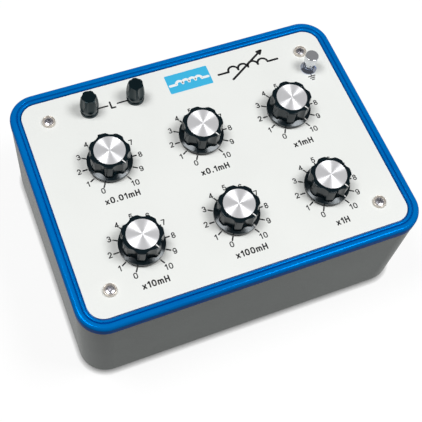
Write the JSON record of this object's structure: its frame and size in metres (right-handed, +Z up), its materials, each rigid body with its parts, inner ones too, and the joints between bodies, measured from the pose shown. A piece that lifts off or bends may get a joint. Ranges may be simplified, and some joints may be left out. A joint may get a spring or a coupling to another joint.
{
  "type": "inductance decade box",
  "caption": "Bench box with rows of decade dials on a framed panel, fluted binding posts for the set inductance and an earth post, over a deep moulded case.",
  "frame": {"origin": "on the table under the middle of the box, at the undersides of the feet", "axes": "+X to the right along the front, +Y to the back, +Z up out of the panel"},
  "size_m": [0.219, 0.164, 0.096],
  "materials": {
    "case_plastic": "fine moulded grain",
    "frame_plastic": "smooth moulded",
    "panel_face": "satin, screen printed",
    "screw_steel": "plated",
    "cup_nickel": "bright nickel plate",
    "foot_rubber": "matte",
    "knob_black": "polished thermoset",
    "knob_aluminium": "spun, fine circular grain",
    "brass": "turned",
    "rotor_plastic": "moulded",
    "switch_plastic": "moulded",
    "switch_plating": "nickel plate",
    "board": "glass laminate under lacquer",
    "core_ferrite": "sintered",
    "winding_copper": "enamelled wire, wound",
    "wire_red": "sleeved wire",
    "post_black": "polished thermoset",
    "insulator_black": "moulded",
    "post_gold": "gold flash",
    "earth_nickel": "bright nickel plate",
    "tinned_brass": "tinned"
  },
  "bodies": {
    "box": {"case": "case_plastic", "rim_frame": "frame_plastic", "front_panel": "panel_face", "panel_screws": "screw_steel", "cup_washers": "cup_nickel", "rubber_feet": "foot_rubber", "switch_can_1": "switch_plastic", "switch_can_2": "switch_plastic", "switch_can_3": "switch_plastic", "switch_can_4": "switch_plastic", "switch_can_5": "switch_plastic", "switch_can_6": "switch_plastic", "switch_washers": "switch_plating", "switch_nuts": "switch_plating", "decade_boards": "board", "choke_cores": "core_ferrite", "choke_windings": "winding_copper", "link_wires": "wire_red", "post_insulators": "insulator_black", "post_studs": "post_gold", "earth_stud": "earth_nickel", "solder_lugs": "tinned_brass", "terminal_nuts": "switch_plating"},
    "dial_1": {"knob_1": "knob_black", "knob_face_1": "knob_aluminium", "knob_insert_1": "brass", "switch_rotor_1": "rotor_plastic"},
    "dial_2": {"knob_2": "knob_black", "knob_face_2": "knob_aluminium", "knob_insert_2": "brass", "switch_rotor_2": "rotor_plastic"},
    "dial_3": {"knob_3": "knob_black", "knob_face_3": "knob_aluminium", "knob_insert_3": "brass", "switch_rotor_3": "rotor_plastic"},
    "dial_4": {"knob_4": "knob_black", "knob_face_4": "knob_aluminium", "knob_insert_4": "brass", "switch_rotor_4": "rotor_plastic"},
    "dial_5": {"knob_5": "knob_black", "knob_face_5": "knob_aluminium", "knob_insert_5": "brass", "switch_rotor_5": "rotor_plastic"},
    "dial_6": {"knob_6": "knob_black", "knob_face_6": "knob_aluminium", "knob_insert_6": "brass", "switch_rotor_6": "rotor_plastic"},
    "post_lift_1": {"post_insert_1": "brass"},
    "post_turn_1": {"post_cap_1": "post_black"},
    "post_lift_2": {"post_insert_2": "brass"},
    "post_turn_2": {"post_cap_2": "post_black"},
    "earth_lift": {"earth_washer": "earth_nickel"},
    "earth_turn": {"earth_nut": "earth_nickel"}
  },
  "joints": [
    {"name": "dial_1", "type": "hinge", "parent": "box", "child": "dial_1", "pos_m": [-0.06, 0.0196, 0.08], "axis": [0, 0, 1], "range_deg": [0, 300]},
    {"name": "dial_2", "type": "hinge", "parent": "box", "child": "dial_2", "pos_m": [0, 0.0196, 0.08], "axis": [0, 0, 1], "range_deg": [0, 300]},
    {"name": "dial_3", "type": "hinge", "parent": "box", "child": "dial_3", "pos_m": [0.06, 0.0196, 0.08], "axis": [0, 0, 1], "range_deg": [0, 300]},
    {"name": "dial_4", "type": "hinge", "parent": "box", "child": "dial_4", "pos_m": [-0.06, -0.0386, 0.08], "axis": [0, 0, 1], "range_deg": [0, 300]},
    {"name": "dial_5", "type": "hinge", "parent": "box", "child": "dial_5", "pos_m": [0, -0.0386, 0.08], "axis": [0, 0, 1], "range_deg": [0, 300]},
    {"name": "dial_6", "type": "hinge", "parent": "box", "child": "dial_6", "pos_m": [0.06, -0.0386, 0.08], "axis": [0, 0, 1], "range_deg": [0, 300]},
    {"name": "post_lift_1", "type": "slide", "parent": "box", "child": "post_lift_1", "axis": [0, 0, 1], "range_m": [0, 0.0042]},
    {"name": "post_turn_1", "type": "hinge", "parent": "post_lift_1", "child": "post_turn_1", "pos_m": [-0.06, 0.0593, 0.08], "axis": [0, 0, 1], "range_deg": [0, 2160]},
    {"name": "post_lift_2", "type": "slide", "parent": "box", "child": "post_lift_2", "axis": [0, 0, 1], "range_m": [0, 0.0042]},
    {"name": "post_turn_2", "type": "hinge", "parent": "post_lift_2", "child": "post_turn_2", "pos_m": [-0.0295, 0.0593, 0.08], "axis": [0, 0, 1], "range_deg": [0, 2160]},
    {"name": "earth_lift", "type": "slide", "parent": "box", "child": "earth_lift", "axis": [0, 0, 1], "range_m": [0, 0.0042]},
    {"name": "earth_turn", "type": "hinge", "parent": "earth_lift", "child": "earth_turn", "pos_m": [0.0865, 0.0457, 0.08], "axis": [0, 0, 1], "range_deg": [0, 2160]}
  ],
  "couplings": [
    {"joint": "post_turn_1", "follows": "post_lift_1", "rad_per_m": 8976},
    {"joint": "post_turn_2", "follows": "post_lift_2", "rad_per_m": 8976},
    {"joint": "earth_turn", "follows": "earth_lift", "rad_per_m": 8976}
  ]
}
